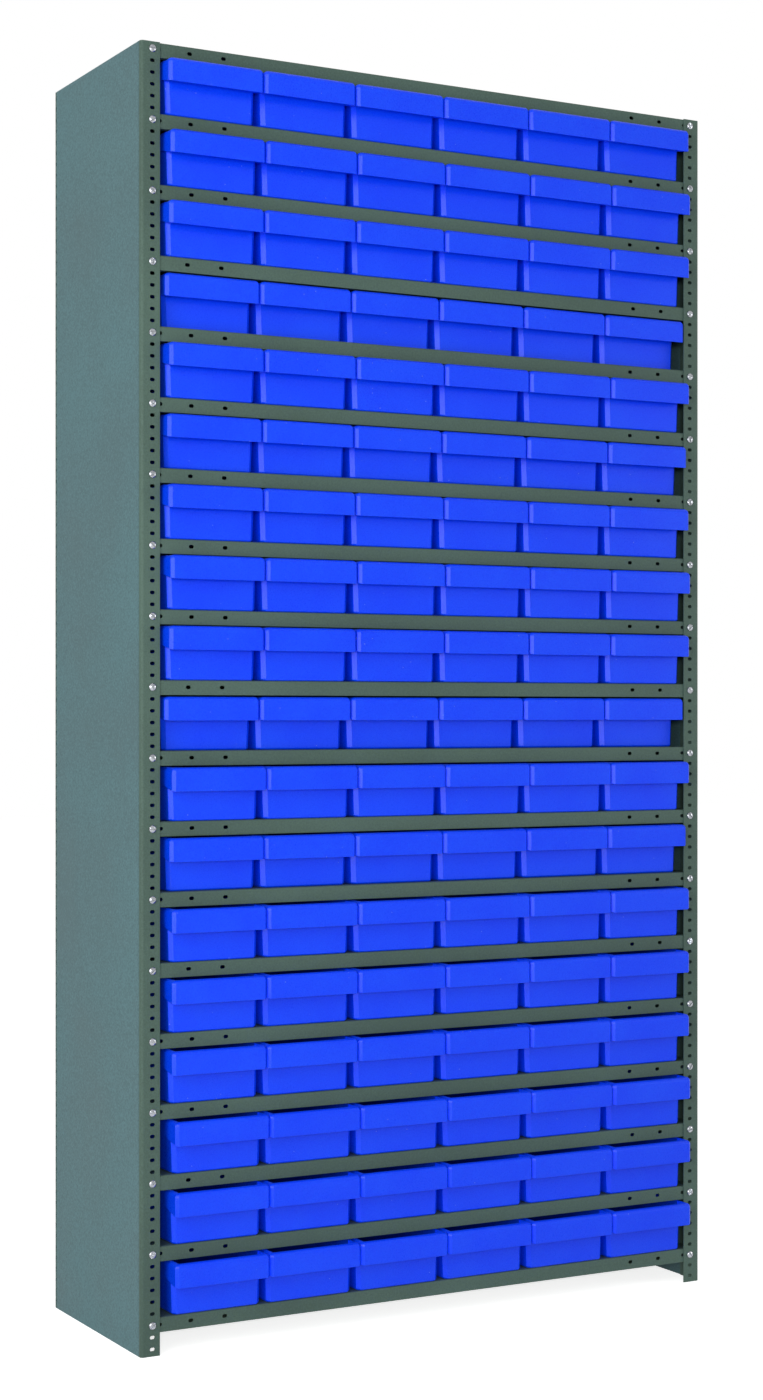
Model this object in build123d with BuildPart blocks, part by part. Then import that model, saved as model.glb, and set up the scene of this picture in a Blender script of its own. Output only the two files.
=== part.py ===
"""Closed steel shelving unit filled with plastic shelf drawers.

Folded shelves are bolted between four slotted corner posts, steel sheets close the sides and the back,
and every bay holds one row of open-topped drawers with a finger pull across the front.

Millimetres. +Z is up, the open front faces -Y, and the origin is on the floor under the middle of the unit.
"""

import os

from build123d import *

# The shelf is the nominal size. The posts and sheets stand outside it, and the height follows from the slots.
shelf_width = 914.4
shelf_depth = 304.8
bays = 18
drawers_per_row = 6

# Slots in the posts, counted in hole pitches
hole_pitch = 15.875
holes_per_bay = 6
holes_under_bottom_shelf = 2
hole_end_distance = 9.525
hole_side_distance = 17.0
slot_width = 8.5
slot_height = 5.6

# Sheet steel
post_sheet = 1.9
panel_sheet = 0.9
shelf_sheet = 1.2

# Corner posts: angles whose side leg steps in by one panel thickness, so that the side panel lies flush
post_front_leg = 28.0
post_side_leg = 43.0
post_bend_radius = 6.0
post_step_beyond_bend = 1.0
panel_seam_at_rear = 1.0

# Shelves: trays turned upside down, with a lip all round and an inward return under the long lips
shelf_lip = 20.0
shelf_return = 10.0
shelf_corner_clearance = 0.6

# Bolts: slotted truss heads through post and lip
bolt_head_radius = 5.7
bolt_head_height = 2.9
bolt_shank_side = 4.2
bolt_length = 12.7
bolt_hole = 5.6

# Drawers: the pull is a hood on the upper part of the front, closed on top and open below for the fingers
row_left_margin = 34.5
row_right_margin = 30.6
pull_gap = 1.5
pull_height = 30.0
pull_reach = 24.4
pull_side_run = 40.0
pull_side_overhang = 3.2
pull_stand_out = 20.0
room_behind_drawer = 34.2
headroom = 2.25
drawer_wall = 2.2
drawer_corner = 3.2
pull_corner = 3.0

# Rows that are pushed further in, rows that stand a little to the left (-) or right (+), and rows whose
# drawers stand closer together, all counted from the top
set_back_rows = {4: 16.0, 6: 8.5, 10: 15.5, 12: 8.0}
shifted_rows = {1: -1.0, 2: 2.0, 4: 1.0, 6: 1.0, 7: -1.0, 8: 2.0, 16: 2.2, 17: 2.2, 18: 2.2}
closer_rows = {11: 0.7, 12: 0.7, 13: 0.7, 14: 0.7, 15: 0.7, 16: 0.2, 17: 0.2, 18: 0.2}

# Rows whose drawers slide one by one, at hand height. Each other row is one group.
single_rows = range(7, 13)

# Derived places
shelf_pitch = holes_per_bay * hole_pitch
hole_count = bays * holes_per_bay + 1 + holes_under_bottom_shelf
width = shelf_width + 2 * (post_bend_radius + shelf_corner_clearance)
depth = shelf_depth + 2 * post_sheet + panel_sheet
height = (hole_count - 1) * hole_pitch + 2 * hole_end_distance
post_step_from_corner = post_bend_radius + post_step_beyond_bend
front_y = (pull_stand_out - depth) / 2
back_y = front_y + depth
post_back_y = back_y - panel_sheet
shelf_tops = [height - level * shelf_pitch for level in range(bays + 1)]
bolt_x = width / 2 - hole_side_distance

row_width = width - row_left_margin - row_right_margin
pull_width = (row_width - (drawers_per_row - 1) * pull_gap) / drawers_per_row
body_width = pull_width - 2 * pull_side_overhang
drawer_length = pull_stand_out + depth - room_behind_drawer
body_length = drawer_length - pull_reach
drawer_height = shelf_pitch - shelf_lip - headroom

sides = {"left": -1, "right": 1}

os.makedirs("parts", exist_ok=True)


def save(piece, name):
    piece.label = name
    export_step(piece, f"parts/{name}.step")


def plan_point(side, end, across, deep):
    """Plan position measured inwards from the outer corner of one post."""
    x = side * (width / 2 - across)
    y = front_y + deep if end == "front" else post_back_y - deep
    return (x, y)


# Corner posts: the plan outline is one bent sheet, and the front pair carry a slot at every pitch
post_outline = [
    (post_front_leg, 0),
    (0, 0),
    (0, post_step_from_corner),
    (panel_sheet, post_step_from_corner),
    (panel_sheet, post_side_leg),
    (panel_sheet + post_sheet, post_side_leg),
    (panel_sheet + post_sheet, post_step_from_corner + panel_sheet),
    (post_sheet, post_step_from_corner),
    (post_sheet, post_sheet),
    (post_front_leg, post_sheet),
]

for end in ("front", "rear"):
    for side_name, side in sides.items():
        corner = plan_point(side, end, 0, 0)
        with BuildPart() as post:
            with BuildSketch() as outline:
                with BuildLine():
                    Polyline(*[plan_point(side, end, *point) for point in post_outline], close=True)
                make_face()
                bend = outline.vertices().sort_by_distance((*corner, 0))
                fillet(bend[0], post_bend_radius)
                bend = outline.vertices().sort_by_distance(
                    (*plan_point(side, end, post_sheet, post_sheet), 0)
                )
                fillet(bend[0], post_bend_radius - post_sheet)
            extrude(amount=height)
            if end == "front":
                with BuildSketch(Plane.XZ.offset(-front_y)):
                    with Locations((side * bolt_x, height / 2)):
                        with GridLocations(hole_pitch, hole_pitch, 1, hole_count):
                            Rectangle(slot_width, slot_height)
                extrude(amount=-post_sheet, mode=Mode.SUBTRACT)
        save(post.part, f"post_{end}_{side_name}")

# Side panels: flat sheets against the stepped legs of the posts, flush with the corners
side_front_y = front_y + post_step_from_corner
side_back_y = post_back_y - post_step_from_corner - panel_seam_at_rear
for side_name, side in sides.items():
    with BuildPart() as side_panel:
        with BuildSketch():
            with Locations((side * (width - panel_sheet) / 2, (side_front_y + side_back_y) / 2)):
                Rectangle(panel_sheet, side_back_y - side_front_y)
        extrude(amount=height)
    save(side_panel.part, f"side_panel_{side_name}")

# Back panel: one sheet on the outside of the rear posts, between their bends
with BuildPart() as back_panel:
    with BuildSketch():
        with Locations((0, back_y - panel_sheet / 2)):
            Rectangle(width - 2 * post_bend_radius, panel_sheet)
    extrude(amount=height)
save(back_panel.part, "back_panel")

# Shelf: the long lips and their returns are one folded section, and the short lips close its ends
shelf_front_y = front_y + post_sheet
shelf_back_y = post_back_y - post_sheet
with BuildPart() as shelf:
    with BuildSketch(Plane.YZ.offset(-shelf_width / 2)):
        with Locations(((shelf_front_y + shelf_back_y) / 2, 0)):
            Rectangle(shelf_back_y - shelf_front_y, shelf_lip, align=(Align.CENTER, Align.MAX))
        with Locations(((shelf_front_y + shelf_back_y) / 2, -shelf_sheet)):
            Rectangle(
                shelf_back_y - shelf_front_y - 2 * shelf_sheet,
                shelf_lip - 2 * shelf_sheet,
                align=(Align.CENTER, Align.MAX),
                mode=Mode.SUBTRACT,
            )
        with Locations(((shelf_front_y + shelf_back_y) / 2, -shelf_lip)):
            Rectangle(
                shelf_back_y - shelf_front_y - 2 * shelf_return,
                shelf_sheet,
                align=(Align.CENTER, Align.MIN),
                mode=Mode.SUBTRACT,
            )
    extrude(amount=shelf_width)
    with BuildSketch(Plane.YZ.offset(-shelf_width / 2)) as short_lip:
        with Locations(((shelf_front_y + shelf_back_y) / 2, 0)):
            Rectangle(shelf_back_y - shelf_front_y, shelf_lip, align=(Align.CENTER, Align.MAX))
    extrude(amount=shelf_sheet)
    with BuildSketch(Plane.YZ.offset(shelf_width / 2)):
        add(short_lip.sketch_local)
    extrude(amount=-shelf_sheet)
    with BuildSketch(Plane.XZ.offset(-shelf_front_y)):
        with Locations((-bolt_x, -hole_end_distance), (bolt_x, -hole_end_distance)):
            Rectangle(bolt_hole, bolt_hole)
    extrude(amount=-shelf_sheet, mode=Mode.SUBTRACT)

shelf_groups = {
    "top_shelf": shelf_tops[:1],
    "middle_shelves": shelf_tops[1:-1],
    "bottom_shelf": shelf_tops[-1:],
}
for name, tops in shelf_groups.items():
    with BuildPart() as shelf_group:
        with Locations(*[(0, 0, top) for top in tops]):
            add(shelf.part)
    save(shelf_group.part, name)

# Bolts: one through each front post at every shelf. Eight flats stand in for the round head.
with BuildPart() as bolt:
    with BuildSketch(Plane.XZ.offset(-front_y)):
        RegularPolygon(bolt_head_radius, 8)
    extrude(amount=bolt_head_height)
    with BuildSketch(Plane.XZ.offset(-front_y)):
        Rectangle(bolt_shank_side, bolt_shank_side)
    extrude(amount=-bolt_length)

with BuildPart() as bolts:
    with Locations(*[(side * bolt_x, 0, top - hole_end_distance) for top in shelf_tops for side in (-1, 1)]):
        add(bolt.part)
save(bolts.part, "shelf_bolts")

# Drawer, drawn from the middle of its front at shelf level: an open box, and the hood that its top turns out into
with BuildPart() as drawer:
    with BuildSketch():
        with Locations((0, pull_reach)):
            Rectangle(body_width, body_length, align=(Align.CENTER, Align.MIN))
    extrude(amount=drawer_height)
    chamfer(drawer.edges().filter_by(Axis.Z).group_by(Axis.Y)[0], drawer_corner)
    with BuildSketch(Plane.XY.offset(drawer_height - pull_height)):
        Rectangle(pull_width, pull_side_run, align=(Align.CENTER, Align.MIN))
    extrude(amount=pull_height)
    chamfer(drawer.edges().filter_by(Axis.Z).group_by(Axis.Y)[0], pull_corner)
    with BuildSketch(Plane.XY.offset(drawer_wall)):
        with Locations((0, pull_reach + drawer_wall)):
            Rectangle(
                body_width - 2 * drawer_wall,
                body_length - 2 * drawer_wall,
                align=(Align.CENTER, Align.MIN),
            )
    extrude(amount=drawer_height, mode=Mode.SUBTRACT)
    with BuildSketch(Plane.XY.offset(drawer_height - pull_height)):
        with Locations((0, drawer_wall)):
            Rectangle(
                pull_width - 2 * drawer_wall,
                pull_reach - drawer_wall,
                align=(Align.CENTER, Align.MIN),
            )
    extrude(amount=pull_height - drawer_wall, mode=Mode.SUBTRACT)

for row in range(1, bays + 1):
    last_x = width / 2 - row_right_margin - pull_width / 2 + shifted_rows.get(row, 0.0)
    row_pitch = pull_width + closer_rows.get(row, pull_gap)
    row_y = front_y - pull_stand_out + set_back_rows.get(row, 0.0)
    places = [
        (last_x - column * row_pitch, row_y, shelf_tops[row]) for column in reversed(range(drawers_per_row))
    ]
    if row in single_rows:
        groups = {f"drawer_r{row:02}_c{column}": [place] for column, place in enumerate(places, 1)}
    else:
        groups = {f"drawer_row_{row:02}": places}
    for name, group in groups.items():
        with BuildPart() as drawers:
            with Locations(*group):
                add(drawer.part)
        save(drawers.part, name)
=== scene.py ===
"""The looks of a closed steel shelving unit filled with rows of plastic drawers.

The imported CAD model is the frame: sizes and places are read from it, and every piece rides on one of its
bodies. Blender works in metres. +Z is up, and the open front faces -Y.
"""

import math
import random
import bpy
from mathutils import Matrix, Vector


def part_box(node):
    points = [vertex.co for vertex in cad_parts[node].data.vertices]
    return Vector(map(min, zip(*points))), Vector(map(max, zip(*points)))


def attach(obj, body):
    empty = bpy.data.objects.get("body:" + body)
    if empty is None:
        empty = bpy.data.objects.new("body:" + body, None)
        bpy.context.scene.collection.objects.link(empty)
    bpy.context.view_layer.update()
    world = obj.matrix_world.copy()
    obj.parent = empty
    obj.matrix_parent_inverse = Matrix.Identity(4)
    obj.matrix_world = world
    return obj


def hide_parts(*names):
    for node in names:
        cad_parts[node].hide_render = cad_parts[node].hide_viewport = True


bl_info = {
    "name": "Shelving Unit with Drawers",
    "version": (1, 0, 0),
    "blender": (4, 5, 0),
    "location": "3D View > Sidebar > Shelving",
    "description": "Corner posts, shelves, sheets, bolts and drawers of a closed shelving unit",
    "category": "Object",
}

import bpy
from mathutils import Matrix, Vector

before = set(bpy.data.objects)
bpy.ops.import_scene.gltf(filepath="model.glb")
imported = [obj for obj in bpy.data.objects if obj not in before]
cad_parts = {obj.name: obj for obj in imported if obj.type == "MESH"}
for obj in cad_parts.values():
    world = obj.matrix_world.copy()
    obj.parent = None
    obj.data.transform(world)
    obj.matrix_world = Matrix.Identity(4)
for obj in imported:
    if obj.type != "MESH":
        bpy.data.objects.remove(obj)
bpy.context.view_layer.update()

MM = 0.001
BAYS = 18
COLUMNS = 6
CABINET = "cabinet"

POST_LOW, POST_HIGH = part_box("post_front_left")
DECK_LOW, DECK_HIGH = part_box("top_shelf")
BACK_LOW, BACK_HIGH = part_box("back_panel")

# How far the free holes in the lips lie towards the ends, in millimetres, from the top shelf down
HOLES_OUTWARDS = (
    *(1.6, 0, -1.3, 4.8, -0.7, -1.1, 0.3, -1, -1.3, 3.5),
    *(-1.6, -1.9, -1.5, 3, -2, -1.8, 3.3, -1.3, -0.3),
)

# Places that several pieces share
FRONT_Y = POST_LOW.y
HEIGHT = POST_HIGH.z
HALF_WIDTH = -POST_LOW.x
POST_BACK_Y = BACK_LOW.y
MIDDLE_Y = (FRONT_Y + POST_BACK_Y) / 2
BOLT_X = HALF_WIDTH - 17 * MM
BOLT_BELOW_DECK = 9.525 * MM
FLAT_HEAD_RADIUS = 5.5 * MM


class SteelSizes(bpy.types.PropertyGroup):
    """Sizes of the bent and folded steel."""

    post_leg: bpy.props.FloatProperty(
        name="Post leg",
        description="Width of a corner post's leg that carries the bolts",
        default=28 * MM,
        unit="LENGTH",
    )
    side_leg: bpy.props.FloatProperty(
        name="Side leg",
        description="Width of a corner post's leg behind the side sheet",
        default=43 * MM,
        unit="LENGTH",
    )
    post_sheet: bpy.props.FloatProperty(
        name="Post sheet",
        description="Thickness of the posts",
        default=1.9 * MM,
        unit="LENGTH",
    )
    panel_sheet: bpy.props.FloatProperty(
        name="Panel sheet",
        description="Thickness of the side and back sheets",
        default=0.9 * MM,
        unit="LENGTH",
    )
    bend_radius: bpy.props.FloatProperty(
        name="Bend radius",
        description="Outer radius of a corner post's bend",
        default=4.5 * MM,
        unit="LENGTH",
    )
    slot_pitch: bpy.props.FloatProperty(
        name="Slot pitch",
        description="Distance from one slot in a post to the next",
        default=15.875 * MM,
        unit="LENGTH",
    )
    slot_width: bpy.props.FloatProperty(
        name="Slot width",
        description="Width of a slot with its round ends",
        default=7.5 * MM,
        unit="LENGTH",
    )
    slot_height: bpy.props.FloatProperty(
        name="Slot height",
        description="Height of a slot",
        default=5.1 * MM,
        unit="LENGTH",
    )
    shelf_sheet: bpy.props.FloatProperty(
        name="Shelf sheet",
        description="Thickness of the shelves",
        default=1.2 * MM,
        unit="LENGTH",
    )
    shelf_lip: bpy.props.FloatProperty(
        name="Shelf lip",
        description="Height of the lip that is folded down round a shelf",
        default=20 * MM,
        unit="LENGTH",
    )
    shelf_return: bpy.props.FloatProperty(
        name="Shelf return",
        description="Width of the return under the long lips",
        default=10 * MM,
        unit="LENGTH",
    )
    lowest_return: bpy.props.FloatProperty(
        name="Lowest return",
        description="Width of the return under the long lips of the lowest shelf",
        default=60 * MM,
        unit="LENGTH",
    )
    lip_hole: bpy.props.FloatProperty(
        name="Lip hole",
        description="Width of the free holes in a lip",
        default=7.6 * MM,
        unit="LENGTH",
    )


class DrawerSizes(bpy.types.PropertyGroup):
    """Sizes of one drawer. Its front starts at the front of the pull."""

    width: bpy.props.FloatProperty(
        name="Pull width",
        description="Width over the pull",
        default=142.5 * MM,
        unit="LENGTH",
    )
    overhang: bpy.props.FloatProperty(
        name="Pull overhang",
        description="How far the pull stands out past the body at each side",
        default=3.2 * MM,
        unit="LENGTH",
    )
    length: bpy.props.FloatProperty(
        name="Length",
        description="Length from the front of the pull to the back wall",
        default=295.3 * MM,
        unit="LENGTH",
    )
    height: bpy.props.FloatProperty(
        name="Height",
        description="Height over the rim",
        default=73 * MM,
        unit="LENGTH",
    )
    pull_height: bpy.props.FloatProperty(
        name="Pull height",
        description="Height of the pull, down from the rim",
        default=32.5 * MM,
        unit="LENGTH",
    )
    pull_reach: bpy.props.FloatProperty(
        name="Pull reach",
        description="Distance from the front of the pull to the front of the body",
        default=22 * MM,
        unit="LENGTH",
    )
    pull_side: bpy.props.FloatProperty(
        name="Pull side",
        description="How far back the sides of the pull run",
        default=40 * MM,
        unit="LENGTH",
    )
    pull_rise: bpy.props.FloatProperty(
        name="Pull rise",
        description="How much higher the sides of the pull end at the back",
        default=9 * MM,
        unit="LENGTH",
    )
    draft: bpy.props.FloatProperty(
        name="Draft",
        description="How much narrower the body is at the floor, at each side",
        default=2.5 * MM,
        unit="LENGTH",
    )
    wall: bpy.props.FloatProperty(
        name="Wall",
        description="Thickness of the walls and the floor",
        default=2.2 * MM,
        unit="LENGTH",
    )
    pull_corner: bpy.props.FloatProperty(
        name="Pull corner",
        description="Chamfer of the pull's upright corners",
        default=4.2 * MM,
        unit="LENGTH",
    )
    pull_rim: bpy.props.FloatProperty(
        name="Pull rim",
        description="Radius of the pull's upper edge",
        default=6.2 * MM,
        unit="LENGTH",
    )
    pull_hollow: bpy.props.FloatProperty(
        name="Pull hollow",
        description="How far the top of the pull lies below its rim",
        default=5 * MM,
        unit="LENGTH",
    )
    body_corner: bpy.props.FloatProperty(
        name="Body corner",
        description="Chamfer of the body's upright corners",
        default=5.2 * MM,
        unit="LENGTH",
    )
    bottom_edge: bpy.props.FloatProperty(
        name="Bottom edge",
        description="Radius of the edge round the floor",
        default=3.2 * MM,
        unit="LENGTH",
    )


class FinishColours(bpy.types.PropertyGroup):
    """Colours of the finishes, in scene linear values."""

    enamel: bpy.props.FloatVectorProperty(
        name="Enamel",
        description="Paint of the posts and shelves",
        subtype="COLOR",
        size=3,
        min=0.0,
        max=1.0,
        default=(0.064, 0.105, 0.085),
    )
    side_enamel: bpy.props.FloatVectorProperty(
        name="Sheet enamel",
        description="Paint of the side and back sheets",
        subtype="COLOR",
        size=3,
        min=0.0,
        max=1.0,
        default=(0.066, 0.134, 0.146),
    )
    plastic: bpy.props.FloatVectorProperty(
        name="Plastic",
        description="Moulded plastic of the drawers",
        subtype="COLOR",
        size=3,
        min=0.0,
        max=1.0,
        default=(0.0, 0.046, 0.96),
    )
    zinc: bpy.props.FloatVectorProperty(
        name="Zinc",
        description="Plating of the bolts and nuts",
        subtype="COLOR",
        size=3,
        min=0.0,
        max=1.0,
        default=(0.42, 0.44, 0.47),
    )


def steel():
    return bpy.context.scene.steel_sizes


def drawer_sizes():
    return bpy.context.scene.drawer_sizes


def deselect_all():
    """Object mode with nothing selected, before the next operator acts."""
    if bpy.context.mode != "OBJECT":
        bpy.ops.object.mode_set(mode="OBJECT")
    bpy.ops.object.select_all(action="DESELECT")


def make_active(piece):
    deselect_all()
    piece.select_set(True)
    bpy.context.view_layer.objects.active = piece


def set_place(piece):
    """Puts the place, turn and scale of a piece into its mesh."""
    make_active(piece)
    bpy.ops.object.transform_apply(location=True, rotation=True, scale=True)


def name_piece(piece, name):
    piece.name = name
    piece.data.name = name
    return piece


def add_block(name, low, high):
    """A block between two corners."""
    low, high = Vector(low), Vector(high)
    deselect_all()
    bpy.ops.mesh.primitive_cube_add(size=1, location=(low + high) / 2, scale=high - low)
    block = name_piece(bpy.context.object, name)
    set_place(block)
    return block


def add_rod(name, radius, depth, sides, centre=(0, 0, 0), turn=(0, 0, 0)):
    """A rod along Z before it is turned."""
    deselect_all()
    bpy.ops.mesh.primitive_cylinder_add(
        vertices=sides, radius=radius, depth=depth, location=centre, rotation=turn
    )
    rod = name_piece(bpy.context.object, name)
    set_place(rod)
    return rod


def edit_edges(piece, wanted):
    """Edit mode with the edges selected whose ends pass the test."""
    make_active(piece)
    bpy.ops.object.mode_set(mode="EDIT")
    bpy.ops.mesh.select_mode(type="EDGE")
    bpy.ops.mesh.select_all(action="DESELECT")
    bpy.ops.object.mode_set(mode="OBJECT")
    corners = piece.data.vertices
    chosen = 0
    for edge in piece.data.edges:
        a, b = corners[edge.vertices[0]].co, corners[edge.vertices[1]].co
        edge.select = bool(wanted(a, b))
        chosen += edge.select
    if not chosen:
        raise RuntimeError(f"{piece.name}: no edge lies where one was looked for")
    bpy.ops.object.mode_set(mode="EDIT")


def edit_faces(piece, wanted):
    """Edit mode with the faces selected whose centre and normal pass the test."""
    make_active(piece)
    bpy.ops.object.mode_set(mode="EDIT")
    bpy.ops.mesh.select_mode(type="FACE")
    bpy.ops.mesh.select_all(action="DESELECT")
    bpy.ops.object.mode_set(mode="OBJECT")
    chosen = 0
    for face in piece.data.polygons:
        face.select = bool(wanted(face.center, face.normal))
        chosen += face.select
    if not chosen:
        raise RuntimeError(f"{piece.name}: no face lies where one was looked for")
    bpy.ops.object.mode_set(mode="EDIT")


def leave_edit():
    bpy.ops.object.mode_set(mode="OBJECT")


def round_edges(piece, wanted, radius, segments):
    edit_edges(piece, wanted)
    bpy.ops.mesh.bevel(offset=radius, segments=segments, affect="EDGES")
    leave_edit()


def near(a, b, room=0.02 * MM):
    return abs(a - b) < room


def along_x(a, b, place):
    """True for an edge that runs along X at the place's depth and height."""
    return all(near(end.y, place.y) and near(end.z, place.z) for end in (a, b))


def upright(a, b):
    """True for an edge that stands straight up."""
    return near(a.x, b.x) and near(a.y, b.y) and not near(a.z, b.z)


def apply_modifier(piece, kind, **settings):
    make_active(piece)
    modifier = piece.modifiers.new(kind.title(), kind)
    for key, value in settings.items():
        setattr(modifier, key, value)
    bpy.ops.object.modifier_apply(modifier=modifier.name)


def cut_out(piece, cutter):
    """Takes the cutter's shape out of the piece."""
    apply_modifier(piece, "BOOLEAN", operation="DIFFERENCE", solver="EXACT", object=cutter)
    bpy.data.objects.remove(cutter)


def unite(piece, other):
    """Makes one closed skin of two pieces that run into each other."""
    apply_modifier(piece, "BOOLEAN", operation="UNION", solver="EXACT", object=other)
    bpy.data.objects.remove(other)


def join(name, pieces):
    """One object of several pieces, each of which stays a shell of its own."""
    deselect_all()
    for piece in pieces:
        piece.select_set(True)
    bpy.context.view_layer.objects.active = pieces[0]
    bpy.ops.object.join()
    return name_piece(bpy.context.object, name)


def copy_of(piece, name, matrix):
    """A copy with a mesh of its own, moved by the matrix."""
    other = piece.copy()
    other.data = piece.data.copy()
    bpy.context.collection.objects.link(other)
    other.data.transform(matrix)
    return name_piece(other, name)


def mirrored(piece, name, axis, middle):
    """A copy mirrored across the plane at middle, with its faces turned outwards again."""
    flip = Matrix.Scale(-1, 4, axis)
    place = Matrix.Translation(2 * middle * Vector(axis))
    other = copy_of(piece, name, place @ flip)
    make_active(other)
    bpy.ops.object.mode_set(mode="EDIT")
    bpy.ops.mesh.select_all(action="SELECT")
    bpy.ops.mesh.normals_make_consistent(inside=False)
    leave_edit()
    return other


def close_seams(piece, flatten=False):
    """Merges the doubles that cutting leaves behind, and melts flat faces together if asked."""
    make_active(piece)
    bpy.ops.object.mode_set(mode="EDIT")
    bpy.ops.mesh.select_mode(type="VERT")
    bpy.ops.mesh.select_all(action="SELECT")
    bpy.ops.mesh.remove_doubles(threshold=0.005 * MM)
    if flatten:
        bpy.ops.mesh.dissolve_limited(angle_limit=math.radians(0.5))
    leave_edit()


def smooth_bends(piece, angle=35):
    """Smooth bends between flat faces."""
    make_active(piece)
    bpy.ops.object.shade_smooth_by_angle(angle=math.radians(angle))
    apply_modifier(piece, "WEIGHTED_NORMAL", keep_sharp=True, weight=80)


def finish_piece(piece, material, body, replaces=()):
    piece.data.materials.clear()
    piece.data.materials.append(material)
    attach(piece, body)
    if replaces:
        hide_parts(*replaces)


def group_socket(group, name, kind, way, default=None):
    socket = group.interface.new_socket(name=name, in_out=way, socket_type=kind)
    if default is not None:
        socket.default_value = default
    return socket


def surface_grain_group():
    """Fine bumps of paint or moulded plastic, and pale flecks, as values over the surface."""
    if "Surface grain" in bpy.data.node_groups:
        return bpy.data.node_groups["Surface grain"]
    group = bpy.data.node_groups.new("Surface grain", "ShaderNodeTree")
    group_socket(group, "Fine scale", "NodeSocketFloat", "INPUT", 900.0)
    group_socket(group, "Coarse scale", "NodeSocketFloat", "INPUT", 120.0)
    group_socket(group, "Coarse share", "NodeSocketFloat", "INPUT", 0.4)
    group_socket(group, "Height", "NodeSocketFloat", "OUTPUT")
    group_socket(group, "Flecks", "NodeSocketFloat", "OUTPUT")
    nodes, links = group.nodes, group.links
    entry = nodes.new("NodeGroupInput")
    leave = nodes.new("NodeGroupOutput")
    place = nodes.new("ShaderNodeTexCoord")
    fine = nodes.new("ShaderNodeTexNoise")
    fine.inputs["Detail"].default_value = 3.0
    coarse = nodes.new("ShaderNodeTexNoise")
    coarse.inputs["Detail"].default_value = 2.0
    blend = nodes.new("ShaderNodeMix")
    fleck = nodes.new("ShaderNodeTexVoronoi")
    fleck.inputs["Scale"].default_value = 160.0
    keep = nodes.new("ShaderNodeMapRange")
    keep.inputs["From Min"].default_value = 0.10
    keep.inputs["From Max"].default_value = 0.04
    rare = nodes.new("ShaderNodeMapRange")
    rare.inputs["From Min"].default_value = 0.93
    rare.inputs["From Max"].default_value = 0.96
    both = nodes.new("ShaderNodeMath")
    both.operation = "MULTIPLY"
    pick = nodes.new("ShaderNodeSeparateColor")
    links.new(place.outputs["Object"], fine.inputs["Vector"])
    links.new(place.outputs["Object"], coarse.inputs["Vector"])
    links.new(place.outputs["Object"], fleck.inputs["Vector"])
    links.new(entry.outputs["Fine scale"], fine.inputs["Scale"])
    links.new(entry.outputs["Coarse scale"], coarse.inputs["Scale"])
    links.new(entry.outputs["Coarse share"], blend.inputs["Factor"])
    links.new(fine.outputs["Fac"], blend.inputs["A"])
    links.new(coarse.outputs["Fac"], blend.inputs["B"])
    links.new(blend.outputs["Result"], leave.inputs["Height"])
    links.new(fleck.outputs["Distance"], keep.inputs["Value"])
    links.new(fleck.outputs["Color"], pick.inputs["Color"])
    links.new(pick.outputs["Red"], rare.inputs["Value"])
    links.new(keep.outputs["Result"], both.inputs[0])
    links.new(rare.outputs["Result"], both.inputs[1])
    links.new(both.outputs["Value"], leave.inputs["Flecks"])
    return group


def mottle_group():
    """A colour that drifts towards a second one in soft clouds and fine speckle."""
    if "Mottle" in bpy.data.node_groups:
        return bpy.data.node_groups["Mottle"]
    group = bpy.data.node_groups.new("Mottle", "ShaderNodeTree")
    group_socket(group, "Colour", "NodeSocketColor", "INPUT")
    group_socket(group, "Second colour", "NodeSocketColor", "INPUT")
    group_socket(group, "Cloud scale", "NodeSocketFloat", "INPUT", 6.0)
    group_socket(group, "Speckle scale", "NodeSocketFloat", "INPUT", 500.0)
    group_socket(group, "Speckle share", "NodeSocketFloat", "INPUT", 0.5)
    group_socket(group, "Amount", "NodeSocketFloat", "INPUT", 0.5)
    group_socket(group, "Colour", "NodeSocketColor", "OUTPUT")
    group_socket(group, "Cloud", "NodeSocketFloat", "OUTPUT")
    nodes, links = group.nodes, group.links
    entry = nodes.new("NodeGroupInput")
    leave = nodes.new("NodeGroupOutput")
    place = nodes.new("ShaderNodeTexCoord")
    cloud = nodes.new("ShaderNodeTexNoise")
    cloud.inputs["Detail"].default_value = 4.0
    speckle = nodes.new("ShaderNodeTexNoise")
    speckle.inputs["Detail"].default_value = 2.0
    blend = nodes.new("ShaderNodeMix")
    spread = nodes.new("ShaderNodeMapRange")
    spread.inputs["From Min"].default_value = 0.40
    spread.inputs["From Max"].default_value = 0.62
    amount = nodes.new("ShaderNodeMath")
    amount.operation = "MULTIPLY"
    tint = nodes.new("ShaderNodeMix")
    tint.data_type = "RGBA"
    links.new(place.outputs["Object"], cloud.inputs["Vector"])
    links.new(place.outputs["Object"], speckle.inputs["Vector"])
    links.new(entry.outputs["Cloud scale"], cloud.inputs["Scale"])
    links.new(entry.outputs["Speckle scale"], speckle.inputs["Scale"])
    links.new(entry.outputs["Speckle share"], blend.inputs["Factor"])
    links.new(cloud.outputs["Fac"], blend.inputs["A"])
    links.new(speckle.outputs["Fac"], blend.inputs["B"])
    links.new(blend.outputs["Result"], spread.inputs["Value"])
    links.new(spread.outputs["Result"], amount.inputs[0])
    links.new(entry.outputs["Amount"], amount.inputs[1])
    links.new(amount.outputs["Value"], tint.inputs["Factor"])
    links.new(entry.outputs["Colour"], tint.inputs["A"])
    links.new(entry.outputs["Second colour"], tint.inputs["B"])
    links.new(tint.outputs["Result"], leave.inputs["Colour"])
    links.new(cloud.outputs["Fac"], leave.inputs["Cloud"])
    return group


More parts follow.
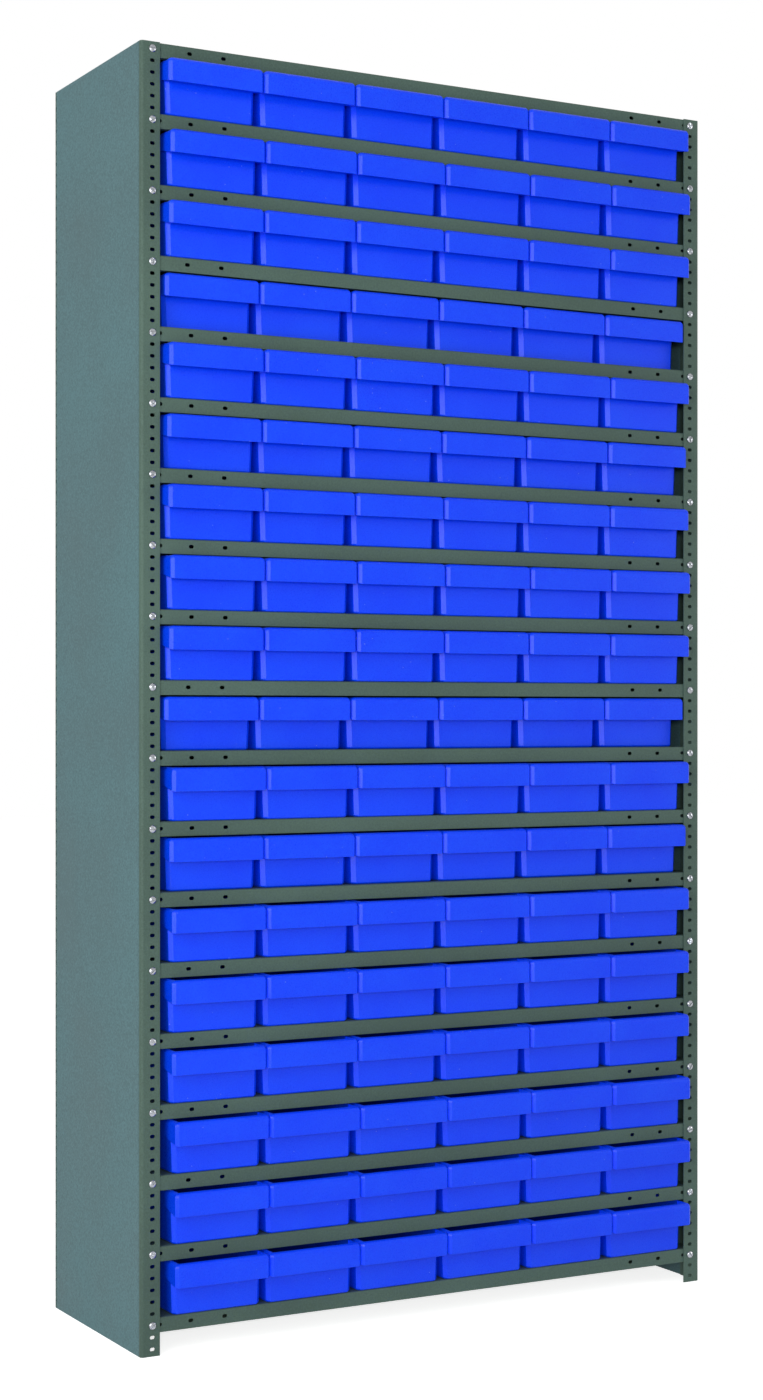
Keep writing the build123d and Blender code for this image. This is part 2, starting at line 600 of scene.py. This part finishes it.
def new_material(name):
    """An empty material with its Principled shader joined to the output."""
    material = bpy.data.materials.new(name)
    material.use_nodes = True
    nodes, links = material.node_tree.nodes, material.node_tree.links
    nodes.clear()
    shader = nodes.new("ShaderNodeBsdfPrincipled")
    output = nodes.new("ShaderNodeOutputMaterial")
    links.new(shader.outputs["BSDF"], output.inputs["Surface"])
    return material, nodes, links, shader


def use_group(nodes, group, **values):
    node = nodes.new("ShaderNodeGroup")
    node.node_tree = group
    for key, value in values.items():
        node.inputs[key.replace("_", " ")].default_value = value
    return node


def coloured(colour, factor=1.0):
    return (*[min(1.0, channel * factor) for channel in colour], 1.0)


def add_bump(nodes, links, shader, height, strength, distance):
    bump = nodes.new("ShaderNodeBump")
    bump.inputs["Strength"].default_value = strength
    bump.inputs["Distance"].default_value = distance
    links.new(height, bump.inputs["Height"])
    links.new(bump.outputs["Normal"], shader.inputs["Normal"])


def spread_roughness(nodes, links, shader, value, low, high):
    rough = nodes.new("ShaderNodeMapRange")
    rough.inputs["From Min"].default_value = 0.3
    rough.inputs["From Max"].default_value = 0.7
    rough.inputs["To Min"].default_value = low
    rough.inputs["To Max"].default_value = high
    links.new(value, rough.inputs["Value"])
    links.new(rough.outputs["Result"], shader.inputs["Roughness"])


def enamel_material(name, colour, lift, cloud_scale, speckle_share, peel):
    """Satin paint on sheet steel, with a faint orange peel."""
    if name in bpy.data.materials:
        return bpy.data.materials[name]
    material, nodes, links, shader = new_material(name)
    tint = use_group(
        nodes,
        mottle_group(),
        Second_colour=coloured(colour, lift),
        Cloud_scale=cloud_scale,
        Speckle_scale=400.0,
        Speckle_share=speckle_share,
        Amount=0.75,
    )
    tint.inputs["Colour"].default_value = coloured(colour)
    grain = use_group(nodes, surface_grain_group(), Fine_scale=700.0, Coarse_scale=260.0, Coarse_share=0.6)
    links.new(tint.outputs["Colour"], shader.inputs["Base Color"])
    spread_roughness(nodes, links, shader, tint.outputs["Cloud"], 0.42, 0.55)
    shader.inputs["Specular IOR Level"].default_value = 0.15
    add_bump(nodes, links, shader, grain.outputs["Height"], peel, 0.3 * MM)
    return material


def front_enamel():
    colours = bpy.context.scene.finish_colours
    return enamel_material("Enamel", colours.enamel, 1.5, 3.0, 0.5, 0.12)


def sheet_enamel():
    colours = bpy.context.scene.finish_colours
    return enamel_material("Sheet enamel", colours.side_enamel, 1.65, 5.0, 0.6, 0.25)


def plastic_material():
    """Moulded plastic with a fine grain and a few pale flecks."""
    name = "Drawer plastic"
    if name in bpy.data.materials:
        return bpy.data.materials[name]
    colour = bpy.context.scene.finish_colours.plastic
    material, nodes, links, shader = new_material(name)
    tint = use_group(
        nodes,
        mottle_group(),
        Second_colour=(0.004, 0.078, 1.0, 1.0),
        Cloud_scale=14.0,
        Speckle_scale=520.0,
        Speckle_share=0.7,
        Amount=0.8,
    )
    tint.inputs["Colour"].default_value = coloured(colour)
    grain = use_group(nodes, surface_grain_group(), Fine_scale=1100.0, Coarse_scale=420.0, Coarse_share=0.5)
    fleck = nodes.new("ShaderNodeMix")
    fleck.data_type = "RGBA"
    fleck.inputs["B"].default_value = (0.45, 0.6, 1.0, 1.0)
    links.new(grain.outputs["Flecks"], fleck.inputs["Factor"])
    links.new(tint.outputs["Colour"], fleck.inputs["A"])
    links.new(fleck.outputs["Result"], shader.inputs["Base Color"])
    spread_roughness(nodes, links, shader, grain.outputs["Height"], 0.24, 0.34)
    shader.inputs["Specular IOR Level"].default_value = 0.26
    add_bump(nodes, links, shader, grain.outputs["Height"], 0.12, 0.2 * MM)
    return material


def zinc_material():
    """Bright zinc plating with a slightly uneven polish."""
    name = "Zinc"
    if name in bpy.data.materials:
        return bpy.data.materials[name]
    colour = bpy.context.scene.finish_colours.zinc
    material, nodes, links, shader = new_material(name)
    tint = use_group(
        nodes,
        mottle_group(),
        Second_colour=coloured(colour, 0.45),
        Cloud_scale=260.0,
        Speckle_scale=900.0,
        Speckle_share=0.4,
        Amount=0.7,
    )
    tint.inputs["Colour"].default_value = coloured(colour)
    grain = use_group(nodes, surface_grain_group(), Fine_scale=1500.0, Coarse_scale=300.0, Coarse_share=0.4)
    links.new(tint.outputs["Colour"], shader.inputs["Base Color"])
    shader.inputs["Metallic"].default_value = 1.0
    spread_roughness(nodes, links, shader, grain.outputs["Height"], 0.16, 0.3)
    add_bump(nodes, links, shader, grain.outputs["Height"], 0.08, 0.1 * MM)
    return material


def slot_cutter(name, width, height, depth):
    """A round-ended cutter that lies along X and cuts along Z."""
    stretch = (width - height) / 2
    cutter = add_rod(name, height / 2, depth, 12, turn=(0, 0, math.radians(15)))
    for side in (-1, 1):
        make_active(cutter)
        bpy.ops.object.mode_set(mode="EDIT")
        bpy.ops.mesh.select_mode(type="VERT")
        bpy.ops.mesh.select_all(action="DESELECT")
        leave_edit()
        for vertex in cutter.data.vertices:
            vertex.select = vertex.co.x * side > 0
        bpy.ops.object.mode_set(mode="EDIT")
        bpy.ops.transform.translate(value=(side * stretch, 0, 0))
        leave_edit()
    return cutter


def slot_cutters(name, centre, way, depth, width=None):
    """A column of cutters at the slot pitch. way is "Y" or "X", the direction that they cut in."""
    sizes = steel()
    cutter = slot_cutter(name, width or sizes.slot_width, sizes.slot_height, depth)
    cutter.rotation_euler = (math.pi / 2, 0, 0) if way == "Y" else (math.pi / 2, 0, math.pi / 2)
    cutter.location = centre
    set_place(cutter)
    count = round((HEIGHT - 2 * centre[2]) / sizes.slot_pitch) + 1
    apply_modifier(
        cutter,
        "ARRAY",
        count=count,
        use_relative_offset=False,
        use_constant_offset=True,
        constant_offset_displace=(0, 0, sizes.slot_pitch),
    )
    return cutter


def bent_post(name):
    """The front left post: a strip bent round the corner, whose side leg steps in behind the side sheet."""
    sizes = steel()
    leg, sheet, step = sizes.post_leg, sizes.post_sheet, sizes.panel_sheet
    step_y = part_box("side_panel_left")[0].y - FRONT_Y
    corner_x = -HALF_WIDTH
    deselect_all()
    bpy.ops.mesh.primitive_plane_add(
        size=1,
        location=(corner_x + leg / 2, FRONT_Y, HEIGHT / 2),
        rotation=(math.pi / 2, 0, 0),
    )
    post = name_piece(bpy.context.object, name)
    post.scale = (leg, HEIGHT, 1)
    set_place(post)
    slope = 0.9 * MM
    moves = [(0, step_y - slope, 0), (step, slope, 0), (0, sizes.side_leg - step_y, 0)]
    edit_edges(post, lambda a, b: near(a.x, corner_x) and near(b.x, corner_x))
    for move in moves:
        bpy.ops.mesh.extrude_region_move(TRANSFORM_OT_translate={"value": move})
    leave_edit()
    round_edges(
        post,
        lambda a, b: upright(a, b) and near(a.x, corner_x) and near(a.y, FRONT_Y),
        sizes.bend_radius,
        6,
    )
    make_active(post)
    bpy.ops.object.mode_set(mode="EDIT")
    bpy.ops.mesh.select_all(action="SELECT")
    bpy.ops.mesh.normals_make_consistent(inside=False)
    leave_edit()
    front = max(post.data.polygons, key=lambda face: face.center.x)
    if front.normal.y > 0:
        bpy.ops.object.mode_set(mode="EDIT")
        bpy.ops.mesh.flip_normals()
        leave_edit()
    apply_modifier(post, "SOLIDIFY", thickness=sheet, offset=-1, use_even_offset=True)
    return post


class SHELVING_OT_corner_posts(bpy.types.Operator):
    """Four slotted corner posts"""

    bl_idname = "shelving.corner_posts"
    bl_label = "Corner Posts"

    def execute(self, context):
        sizes = steel()
        end = BOLT_BELOW_DECK
        side_slot = 31 * MM
        edge_hole = 5.2 * MM
        plain = bent_post("bent_post")
        rear = mirrored(plain, "rear_post", (0, 1, 0), MIDDLE_Y)
        post = copy_of(plain, "front_post", Matrix())
        bpy.data.objects.remove(plain)
        for piece, y, way in ((post, FRONT_Y, 1), (rear, POST_BACK_Y, -1)):
            cut_out(piece, slot_cutters("leg_slots", (-BOLT_X, y, end), "Y", 12 * MM))
            place = (-HALF_WIDTH, y + way * side_slot, end)
            cut_out(piece, slot_cutters("side_slots", place, "X", 12 * MM))
        place = (-HALF_WIDTH, POST_BACK_Y - edge_hole, end)
        cut_out(rear, slot_cutters("edge_holes", place, "X", 7 * MM, sizes.slot_height + 0.8 * MM))
        cut_out(rear, rear_bolt_cutters("rear_bolt_holes", -1))
        close_seams(post)
        close_seams(rear)
        pieces = {
            "post_front_left": copy_of(post, "slotted_post_front_left", Matrix()),
            "post_front_right": mirrored(post, "slotted_post_front_right", (1, 0, 0), 0),
            "post_rear_left": copy_of(rear, "slotted_post_rear_left", Matrix()),
            "post_rear_right": mirrored(rear, "slotted_post_rear_right", (1, 0, 0), 0),
        }
        for part in (post, rear):
            bpy.data.objects.remove(part)
        for node, piece in pieces.items():
            smooth_bends(piece)
            finish_piece(piece, front_enamel(), CABINET, [node])
        return {"FINISHED"}


def shelf_tops():
    pitch = 6 * steel().slot_pitch
    return [HEIGHT - level * pitch for level in range(BAYS + 1)]


def rear_bolt_cutters(name, side):
    """Countersinks for the flat heads of the rear bolts on one side."""
    room = 0.15 * MM
    lowest_z = shelf_tops()[-1] - BOLT_BELOW_DECK
    deselect_all()
    bpy.ops.mesh.primitive_cone_add(
        vertices=20,
        radius1=2.9 * MM,
        radius2=FLAT_HEAD_RADIUS + room,
        depth=2.9 * MM,
        location=(side * BOLT_X, BACK_HIGH.y - 1.35 * MM, lowest_z),
        rotation=(-math.pi / 2, 0, 0),
    )
    cutter = name_piece(bpy.context.object, name)
    set_place(cutter)
    apply_modifier(
        cutter,
        "ARRAY",
        count=BAYS + 1,
        use_relative_offset=False,
        use_constant_offset=True,
        constant_offset_displace=(0, 0, 6 * steel().slot_pitch),
    )
    return cutter


class SHELVING_OT_sheets(bpy.types.Operator):
    """Side sheets and back sheet"""

    bl_idname = "shelving.sheets"
    bl_label = "Side and Back Sheets"

    def execute(self, context):
        for side in ("left", "right"):
            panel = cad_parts[f"side_panel_{side}"]
            for slot in panel.material_slots:
                slot.material = sheet_enamel()
        back = add_block("back_sheet", BACK_LOW, BACK_HIGH)
        edge = 0.3 * MM
        round_edges(back, lambda a, b: a.y > BACK_LOW.y + edge and b.y > BACK_LOW.y + edge, edge, 2)
        for side in (-1, 1):
            cut_out(back, rear_bolt_cutters("back_bolt_holes", side))
        smooth_bends(back)
        finish_piece(back, sheet_enamel(), CABINET, ["back_panel"])
        return {"FINISHED"}


def folded_shelf(name, shelf_return):
    """The top shelf without its holes: a deck with a lip all round and returns under the long lips."""
    sizes = steel()
    fold = 2.2 * MM
    low_z = HEIGHT - sizes.shelf_lip
    deselect_all()
    bpy.ops.mesh.primitive_plane_add(size=1, location=(0, (DECK_LOW.y + DECK_HIGH.y) / 2, HEIGHT))
    shelf = name_piece(bpy.context.object, name)
    shelf.scale = (DECK_HIGH.x - DECK_LOW.x, DECK_HIGH.y - DECK_LOW.y, 1)
    set_place(shelf)
    edit_edges(shelf, lambda a, b: True)
    bpy.ops.mesh.extrude_edges_move(TRANSFORM_OT_translate={"value": (0, 0, -sizes.shelf_lip)})
    leave_edit()
    round_edges(shelf, lambda a, b: upright(a, b) or (near(a.z, HEIGHT) and near(b.z, HEIGHT)), fold, 3)
    for y, way in ((DECK_LOW.y, 1), (DECK_HIGH.y, -1)):
        edit_edges(
            shelf,
            lambda a, b, y=y: near(a.y, y) and near(b.y, y) and near(a.z, low_z) and near(b.z, low_z),
        )
        bpy.ops.mesh.extrude_region_move(TRANSFORM_OT_translate={"value": (0, way * shelf_return, 0)})
        leave_edit()
    make_active(shelf)
    bpy.ops.object.mode_set(mode="EDIT")
    bpy.ops.mesh.select_all(action="SELECT")
    bpy.ops.mesh.normals_make_consistent(inside=False)
    leave_edit()
    deck = max(shelf.data.polygons, key=lambda face: face.area)
    if deck.normal.z < 0:
        bpy.ops.object.mode_set(mode="EDIT")
        bpy.ops.mesh.flip_normals()
        leave_edit()
    apply_modifier(shelf, "SOLIDIFY", thickness=sizes.shelf_sheet, offset=-1, use_even_offset=True)
    return shelf


def lip_hole_cutters(name, outwards):
    """Holes through the front and the rear lip. outwards moves the free ones to the ends of the shelf."""
    sizes = steel()
    middle_z = HEIGHT - 9.5 * MM
    bolt_hole = 3.3 * MM
    reach = 8 * MM
    rods = []
    beside_bolt = max(27.8 * MM - outwards, 24.4 * MM)
    for from_side in (beside_bolt, 74.5 * MM - outwards, 125.5 * MM - outwards):
        for side in (-1, 1):
            for y in (DECK_LOW.y, DECK_HIGH.y):
                rod = slot_cutter(name, sizes.lip_hole, sizes.slot_height, reach)
                rod.rotation_euler = (math.pi / 2, 0, 0)
                rod.location = (side * (HALF_WIDTH - from_side), y, middle_z)
                set_place(rod)
                rods.append(rod)
    for side in (-1, 1):
        for y in (DECK_LOW.y, DECK_HIGH.y):
            place = (side * BOLT_X, y, HEIGHT - BOLT_BELOW_DECK)
            rods.append(add_rod(name, bolt_hole, reach, 10, place, (math.pi / 2, 0, 0)))
    return join(name, rods)


class SHELVING_OT_shelves(bpy.types.Operator):
    """Nineteen folded shelves with punched lips"""

    bl_idname = "shelving.shelves"
    bl_label = "Shelves"

    def execute(self, context):
        plain = folded_shelf("plain_shelf", steel().shelf_return)
        lowest = folded_shelf("lowest_shelf", steel().lowest_return)
        for level, top in enumerate(shelf_tops()):
            down = Matrix.Translation((0, 0, top - HEIGHT))
            shelf = copy_of(lowest if level == BAYS else plain, f"folded_shelf_{level:02}", Matrix())
            cut_out(shelf, lip_hole_cutters("lip_holes", HOLES_OUTWARDS[level] * MM))
            shelf.data.transform(down)
            smooth_bends(shelf)
            node = "top_shelf" if level == 0 else "bottom_shelf" if level == BAYS else "middle_shelves"
            finish_piece(shelf, front_enamel(), CABINET, [node])
        for part in (plain, lowest):
            bpy.data.objects.remove(part)
        return {"FINISHED"}


def raise_ring(scale, height):
    """Extrudes the selected end of a rod and draws it in."""
    bpy.ops.mesh.extrude_region_move(TRANSFORM_OT_translate={"value": (0, 0, height)})
    bpy.ops.transform.resize(value=(scale, scale, 1))


def domed_bolt(name):
    """A slotted bolt with a low dome for a head. Its head stands up along Z from the origin."""
    head = add_rod("bolt_head", 5.3 * MM, 0.8 * MM, 16, (0, 0, 0.4 * MM))
    edit_faces(head, lambda centre, normal: normal.z > 0.9)
    raise_ring(0.93, 0.7 * MM)
    raise_ring(0.76, 0.85 * MM)
    raise_ring(0.5, 0.45 * MM)
    leave_edit()
    groove = add_block("groove", (-0.95 * MM, -7 * MM, 1.3 * MM), (0.95 * MM, 7 * MM, 4 * MM))
    cut_out(head, groove)
    shank = add_rod("bolt_shank", 3.0 * MM, 12.6 * MM, 10, (0, 0, -6.35 * MM))
    round_edges(shank, lambda a, b: a.z < -12 * MM and b.z < -12 * MM, 0.7 * MM, 1)
    return join(name, [head, shank])


def flat_bolt(name):
    """A countersunk bolt whose head ends just under the sheet. Its head faces up along Z."""
    head = add_rod("flat_head", FLAT_HEAD_RADIUS, 0.3 * MM, 16, (0, 0, -0.25 * MM))
    edit_faces(head, lambda centre, normal: normal.z < -0.9)
    bpy.ops.mesh.extrude_region_move(TRANSFORM_OT_translate={"value": (0, 0, -2.3 * MM)})
    bpy.ops.transform.resize(value=(0.54, 0.54, 1))
    bpy.ops.mesh.extrude_region_move(TRANSFORM_OT_translate={"value": (0, 0, -10 * MM)})
    leave_edit()
    groove = add_block("groove", (-0.7 * MM, -7 * MM, -1.3 * MM), (0.7 * MM, 7 * MM, 1 * MM))
    cut_out(head, groove)
    return name_piece(head, name)


def hex_nut(name):
    """A hexagonal nut with chamfered corners, its flat underside on the origin."""
    nut = add_rod(name, 6.35 * MM, 5.4 * MM, 6, (0, 0, -2.7 * MM))
    round_edges(nut, lambda a, b: near(a.z, b.z) and a.z < -5 * MM, 0.6 * MM, 1)
    return nut


def bolt_places():
    """Middle of every bolt hole, left and right at each shelf."""
    for top in shelf_tops():
        for side in (-1, 1):
            yield side * BOLT_X, top - BOLT_BELOW_DECK


class SHELVING_OT_bolts(bpy.types.Operator):
    """Bolts and nuts that hold the shelves to the posts"""

    bl_idname = "shelving.bolts"
    bl_label = "Bolts and Nuts"

    def execute(self, context):
        sizes = steel()
        chance = random.Random(3)
        grip = sizes.post_sheet + sizes.shelf_sheet
        kinds = (
            ("front_bolts", domed_bolt("domed_bolt"), FRONT_Y, math.pi / 2, 1.0, ["shelf_bolts"]),
            ("front_nuts", hex_nut("front_nut"), FRONT_Y + grip, math.pi / 2, 0.1, []),
            ("rear_bolts", flat_bolt("flat_bolt"), BACK_HIGH.y, -math.pi / 2, 1.0, []),
            ("rear_nuts", hex_nut("rear_nut"), POST_BACK_Y - grip, -math.pi / 2, 0.1, []),
        )
        for name, sample, y, lean, spin, nodes in kinds:
            copies = []
            for x, z in bolt_places():
                turn = Matrix.Rotation(chance.uniform(-math.pi, math.pi) * spin, 4, "Z")
                place = Matrix.Translation((x, y, z)) @ Matrix.Rotation(lean, 4, "X") @ turn
                copies.append(copy_of(sample, name, place))
            bpy.data.objects.remove(sample)
            group = join(name, copies)
            smooth_bends(group, 40)
            finish_piece(group, zinc_material(), CABINET, nodes)
        return {"FINISHED"}


def narrow_floor(block, factor):
    """Draws the lowest edges of a block in towards the middle."""
    low = min(corner.co.z for corner in block.data.vertices)
    edit_edges(block, lambda a, b: near(a.z, low) and near(b.z, low))
    bpy.ops.transform.resize(value=(factor, 1, 1), center_override=(0, 0, low))
    leave_edit()


def moulded_drawer(name):
    """One drawer, the middle of its front on the origin: an open box whose front turns out into a hood."""
    sizes = drawer_sizes()
    half = sizes.width / 2
    body_half = half - sizes.overhang
    wall = sizes.wall
    pull_low = sizes.height - sizes.pull_height

    body = add_block(name, (-body_half, sizes.pull_reach, 0), (body_half, sizes.length, sizes.height))
    narrow_floor(body, 1 - sizes.draft / body_half)
    round_edges(body, lambda a, b: not near(a.z, b.z), sizes.body_corner, 1)
    round_edges(body, lambda a, b: near(a.z, 0) and near(b.z, 0), sizes.bottom_edge, 3)

    hood = add_block("hood", (-half, 0, pull_low), (half, sizes.pull_side, sizes.height))
    lowest_rear = Vector((0, sizes.pull_side, pull_low))
    edit_edges(hood, lambda a, b: along_x(a, b, lowest_rear))
    bpy.ops.transform.translate(value=(0, 0, sizes.pull_rise))
    leave_edit()
    round_edges(hood, lambda a, b: upright(a, b) and near(a.y, 0), sizes.pull_corner, 1)
    round_edges(
        hood,
        lambda a, b: near(a.z, sizes.height)
        and near(b.z, sizes.height)
        and not near(a.y + b.y, 2 * sizes.pull_side),
        sizes.pull_rim,
        4,
    )
    rim_z = pull_low + sizes.pull_rise + 0.1 * MM
    round_edges(
        hood,
        lambda a, b: max(a.z, b.z) < rim_z and min(a.y, b.y) < sizes.pull_side - 0.1 * MM,
        0.9 * MM,
        2,
    )
    unite(body, hood)
    hollow = add_block(
        "hollow",
        (-half + sizes.pull_rim, sizes.pull_rim, sizes.height - sizes.pull_hollow),
        (half - sizes.pull_rim, sizes.pull_reach + 2 * wall, sizes.height + 10 * MM),
    )
    cut_out(body, hollow)

    inside = add_block(
        "inside",
        (-body_half + wall, sizes.pull_reach + wall, wall),
        (body_half - wall, sizes.length - wall, sizes.height + 10 * MM),
    )
    narrow_floor(inside, 1 - sizes.draft / body_half)
    round_edges(inside, lambda a, b: not near(a.z, b.z), sizes.body_corner - wall / 2, 1)
    round_edges(inside, lambda a, b: near(a.z, wall) and near(b.z, wall), sizes.bottom_edge - wall, 2)
    cut_out(body, inside)

    fingers = add_block(
        "fingers",
        (-half + wall, wall, pull_low - 20 * MM),
        (half - wall, sizes.pull_reach, sizes.height - sizes.pull_hollow - wall),
    )
    round_edges(fingers, lambda a, b: upright(a, b) and near(a.y, wall), sizes.pull_corner - wall / 2, 1)
    cut_out(body, fingers)
    close_seams(body, flatten=True)
    smooth_bends(body)
    return body


class SHELVING_OT_drawers(bpy.types.Operator):
    """One hundred and eight drawers, six to a row"""

    bl_idname = "shelving.drawers"
    bl_label = "Drawers"

    def execute(self, context):
        sample = moulded_drawer("moulded_drawer")
        width = drawer_sizes().width
        for row in range(1, BAYS + 1):
            for column in range(1, COLUMNS + 1):
                node = f"drawer_r{row:02}_c{column}"
                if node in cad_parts:
                    low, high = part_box(node)
                    left = low.x
                else:
                    node = f"drawer_row_{row:02}"
                    low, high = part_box(node)
                    left = low.x + (high.x - low.x - width) / (COLUMNS - 1) * (column - 1)
                place = Matrix.Translation((left + width / 2, low.y, low.z))
                drawer = copy_of(sample, f"moulded_drawer_r{row:02}_c{column}", place)
                finish_piece(drawer, plastic_material(), node, [node])
        bpy.data.objects.remove(sample)
        return {"FINISHED"}


def add_lamp(name, place, aim, width, height, watts):
    """A soft lamp that shines at a point."""
    place, aim = Vector(place), Vector(aim)
    deselect_all()
    bpy.ops.object.light_add(type="AREA", location=place)
    lamp = bpy.context.object
    lamp.name = name
    lamp.rotation_euler = (aim - place).to_track_quat("-Z", "Y").to_euler()
    lamp.data.shape = "RECTANGLE"
    lamp.data.size = width
    lamp.data.size_y = height
    lamp.data.energy = watts
    return lamp


def shown_white(nodes, links):
    """1 where the camera, a mirror or glass looks, else 0."""
    path = nodes.new("ShaderNodeLightPath")
    first = nodes.new("ShaderNodeMath")
    first.operation = "ADD"
    second = nodes.new("ShaderNodeMath")
    second.operation = "ADD"
    second.use_clamp = True
    links.new(path.outputs["Is Camera Ray"], first.inputs[0])
    links.new(path.outputs["Is Glossy Ray"], first.inputs[1])
    links.new(first.outputs["Value"], second.inputs[0])
    links.new(path.outputs["Is Transmission Ray"], second.inputs[1])
    return second.outputs["Value"]


def set_world(strength):
    """Soft even light all round that is seen as plain white."""
    world = bpy.data.worlds.new("Studio")
    bpy.context.scene.world = world
    world.use_nodes = True
    nodes, links = world.node_tree.nodes, world.node_tree.links
    nodes.clear()
    light = nodes.new("ShaderNodeBackground")
    light.inputs["Color"].default_value = (1.0, 1.0, 1.0, 1.0)
    light.inputs["Strength"].default_value = strength
    seen = nodes.new("ShaderNodeBackground")
    seen.inputs["Color"].default_value = (1.0, 1.0, 1.0, 1.0)
    seen.inputs["Strength"].default_value = 1.0
    pick = nodes.new("ShaderNodeMixShader")
    output = nodes.new("ShaderNodeOutputWorld")
    links.new(shown_white(nodes, links), pick.inputs["Fac"])
    links.new(light.outputs["Background"], pick.inputs[1])
    links.new(seen.outputs["Background"], pick.inputs[2])
    links.new(pick.outputs["Shader"], output.inputs["Surface"])


def floor_material():
    """A pale floor that keeps a soft shadow and is white elsewhere."""
    material, nodes, links, shader = new_material("Studio floor")
    grain = use_group(nodes, surface_grain_group(), Fine_scale=40.0, Coarse_scale=4.0, Coarse_share=0.5)
    shader.inputs["Base Color"].default_value = (0.75, 0.75, 0.75, 1.0)
    shader.inputs["Roughness"].default_value = 0.9
    shader.inputs["Specular IOR Level"].default_value = 0.0
    shader.inputs["Emission Color"].default_value = (1.0, 1.0, 1.0, 1.0)
    lift = nodes.new("ShaderNodeMath")
    lift.operation = "MULTIPLY"
    lift.inputs[1].default_value = 0.8
    links.new(shown_white(nodes, links), lift.inputs[0])
    links.new(lift.outputs["Value"], shader.inputs["Emission Strength"])
    add_bump(nodes, links, shader, grain.outputs["Height"], 0.02, 1 * MM)
    return material


class SHELVING_OT_stage(bpy.types.Operator):
    """Floor, lamps and camera"""

    bl_idname = "shelving.stage"
    bl_label = "Studio Stage"

    def execute(self, context):
        deselect_all()
        bpy.ops.mesh.primitive_plane_add(size=30, location=(0, 0, 0))
        floor = name_piece(context.object, "studio_floor")
        floor.data.materials.append(floor_material())

        set_world(0.36)
        add_lamp("left_lamp", (-3.05, -2.0, 1.6), (0, 0, 1.1), 2.0, 3.0, 70)
        add_lamp("front_lamp", (-2.25, -3.95, 1.2), (0, 0, 0.9), 0.5, 0.5, 48)
        add_lamp("fill_lamp", (5.0, -3.2, 1.6), (0.3, 0, 0.9), 1.8, 1.8, 55)

        deselect_all()
        bpy.ops.object.camera_add(
            location=(-1.74405, -3.02565, 0.86203),
            rotation=(math.pi / 2, 0, math.radians(-27.834)),
        )
        camera = context.object
        camera.name = "studio_camera"
        camera.data.lens = 60.427
        camera.data.sensor_width = 36
        camera.data.shift_x = 0.0582
        camera.data.shift_y = 0.0102
        camera.data.dof.use_dof = False
        context.scene.camera = camera
        context.scene.view_settings.view_transform = "Standard"
        return {"FINISHED"}


class SHELVING_PT_pieces(bpy.types.Panel):
    """Pieces of the shelving unit"""

    bl_label = "Shelving Unit"
    bl_idname = "SHELVING_PT_pieces"
    bl_space_type = "VIEW_3D"
    bl_region_type = "UI"
    bl_category = "Shelving"

    def draw(self, context):
        layout = self.layout
        for operator in OPERATORS:
            layout.operator(operator.bl_idname)
        for settings in ("steel_sizes", "drawer_sizes", "finish_colours"):
            box = layout.box()
            group = getattr(context.scene, settings)
            for key in group.bl_rna.properties.keys():
                if key not in {"rna_type", "name"}:
                    box.prop(group, key)


OPERATORS = (
    SHELVING_OT_stage,
    SHELVING_OT_corner_posts,
    SHELVING_OT_sheets,
    SHELVING_OT_shelves,
    SHELVING_OT_bolts,
    SHELVING_OT_drawers,
)
CLASSES = (SteelSizes, DrawerSizes, FinishColours, *OPERATORS, SHELVING_PT_pieces)


def register():
    for kind in CLASSES:
        bpy.utils.register_class(kind)
    bpy.types.Scene.steel_sizes = bpy.props.PointerProperty(type=SteelSizes)
    bpy.types.Scene.drawer_sizes = bpy.props.PointerProperty(type=DrawerSizes)
    bpy.types.Scene.finish_colours = bpy.props.PointerProperty(type=FinishColours)


def unregister():
    del bpy.types.Scene.finish_colours
    del bpy.types.Scene.drawer_sizes
    del bpy.types.Scene.steel_sizes
    for kind in reversed(CLASSES):
        bpy.utils.unregister_class(kind)


def main():
    register()
    bpy.ops.shelving.stage()
    bpy.ops.shelving.corner_posts()
    bpy.ops.shelving.sheets()
    bpy.ops.shelving.shelves()
    bpy.ops.shelving.bolts()
    bpy.ops.shelving.drawers()


if __name__ == "__main__":
    main()
